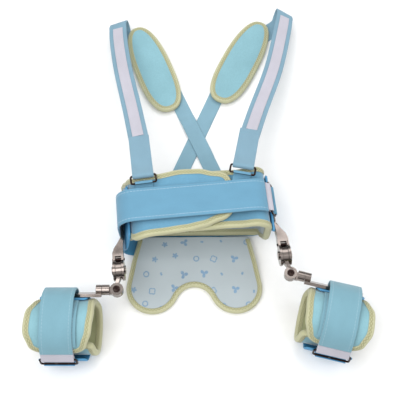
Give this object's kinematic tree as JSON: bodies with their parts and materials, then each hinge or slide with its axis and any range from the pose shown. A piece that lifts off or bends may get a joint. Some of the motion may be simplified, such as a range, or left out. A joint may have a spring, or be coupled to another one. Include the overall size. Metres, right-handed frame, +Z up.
{
  "type": "hip abduction brace",
  "caption": "Child's hip abduction brace: padded waist band, seat pad, shoulder harness and padded thigh cuffs on jointed steel hip irons.",
  "frame": {"origin": "on the back shell's flat resting face, in the plane midway between the hip irons, at the height of the waist strap's middle", "axes": "+Z up from the surface that the brace lies on, towards the wearer's front; +Y to the wearer's head; +X to the right as seen from above, which is the wearer's left, and the names left and right are as seen from above"},
  "size_m": [0.4271, 0.5603, 0.1124],
  "materials": {
    "waist_blue": "woven",
    "shell_blue": "matte",
    "strap_blue": "woven",
    "pad_teal": "soft",
    "lining": "printed brushed cloth",
    "binding": "woven",
    "hook_tape": "hook tape",
    "wire": "dark",
    "steel": "polished"
  },
  "bodies": {
    "brace": {"back_shell": "shell_blue", "waist_liner": "waist_blue", "waist_binding": "binding", "waist_strap": "waist_blue", "waist_hook_tape": "hook_tape", "waist_ring": "wire", "waist_ring_tab": "waist_blue", "seat_pad": "lining", "seat_pad_binding": "binding", "left_shoulder_strap": "strap_blue", "left_strap_stripe": "hook_tape", "left_shoulder_ring": "wire", "left_ring_tab": "waist_blue", "right_shoulder_strap": "strap_blue", "right_strap_stripe": "hook_tape", "right_shoulder_ring": "wire", "right_ring_tab": "waist_blue", "left_shoulder_pad": "pad_teal", "left_shoulder_pad_binding": "binding", "right_shoulder_pad": "pad_teal", "right_shoulder_pad_binding": "binding", "left_back_strap": "strap_blue", "right_back_strap": "strap_blue", "left_hip_upright": "steel", "left_hinge_screw": "steel", "left_stop_screw": "wire", "right_hip_upright": "steel", "right_hinge_screw": "steel", "right_stop_screw": "wire"},
    "left_arm": {"left_lower_arm": "steel", "left_abduction_screw": "wire"},
    "left_swivel": {"left_swivel_barrel": "steel"},
    "left_thigh": {"left_thigh_bar": "steel", "left_cuff_shell": "shell_blue", "left_cuff_liner": "pad_teal", "left_cuff_binding": "binding", "left_cuff_strap": "strap_blue", "left_cuff_strap_tail": "strap_blue", "left_cuff_hook_tape": "hook_tape", "left_cuff_ring": "wire", "left_cuff_ring_tab": "shell_blue"},
    "right_arm": {"right_lower_arm": "steel", "right_abduction_screw": "wire"},
    "right_swivel": {"right_swivel_barrel": "steel"},
    "right_thigh": {"right_thigh_bar": "steel", "right_cuff_shell": "shell_blue", "right_cuff_liner": "pad_teal", "right_cuff_binding": "binding", "right_cuff_strap": "strap_blue", "right_cuff_strap_tail": "strap_blue", "right_cuff_hook_tape": "hook_tape", "right_cuff_ring": "wire", "right_cuff_ring_tab": "shell_blue"}
  },
  "joints": [
    {"name": "left_flexion", "type": "hinge", "parent": "brace", "child": "left_arm", "pos_m": [-0.1052, -0.0691, 0.06], "axis": [-1, 0, 0], "range_deg": [0, 90]},
    {"name": "left_abduction", "type": "hinge", "parent": "left_arm", "child": "left_swivel", "pos_m": [-0.1092, -0.0943, 0.06], "axis": [0, 0, 1], "range_deg": [-5, 35]},
    {"name": "left_rotation", "type": "hinge", "parent": "left_swivel", "child": "left_thigh", "pos_m": [-0.1092, -0.0943, 0.06], "axis": [-0.9954, 0.0958, 0], "range_deg": [-20, 20]},
    {"name": "right_flexion", "type": "hinge", "parent": "brace", "child": "right_arm", "pos_m": [0.1052, -0.0691, 0.06], "axis": [-1, 0, 0], "range_deg": [0, 90]},
    {"name": "right_abduction", "type": "hinge", "parent": "right_arm", "child": "right_swivel", "pos_m": [0.1092, -0.0943, 0.06], "axis": [0, 0, -1], "range_deg": [-29, 11]},
    {"name": "right_rotation", "type": "hinge", "parent": "right_swivel", "child": "right_thigh", "pos_m": [0.1092, -0.0943, 0.06], "axis": [0.9455, -0.3256, 0], "range_deg": [-20, 20]}
  ]
}
